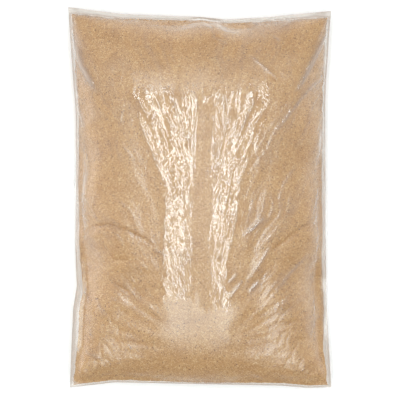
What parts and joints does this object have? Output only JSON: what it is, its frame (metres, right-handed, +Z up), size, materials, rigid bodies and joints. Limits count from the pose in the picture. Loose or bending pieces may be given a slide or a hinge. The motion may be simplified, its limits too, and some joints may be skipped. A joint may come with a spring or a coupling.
{
  "type": "bag of brown sugar",
  "caption": "Clear sealed film pillow bag filled with light brown cane sugar, lying flat with its front face up.",
  "frame": {"origin": "on the surface that the bag lies on, under the middle of the bag's box", "axes": "+X across the bag to the right, +Y along the bag towards its top seal, +Z up out of the front face"},
  "size_m": [0.262, 0.3802, 0.0571],
  "materials": {
    "sugar": "fine dry crystals of light brown cane sugar, seen through clear film",
    "film": "clear glossy polythene film with fine creases"
  },
  "bodies": {
    "root": {"sugar_bag": "sugar"}
  },
  "joints": []
}
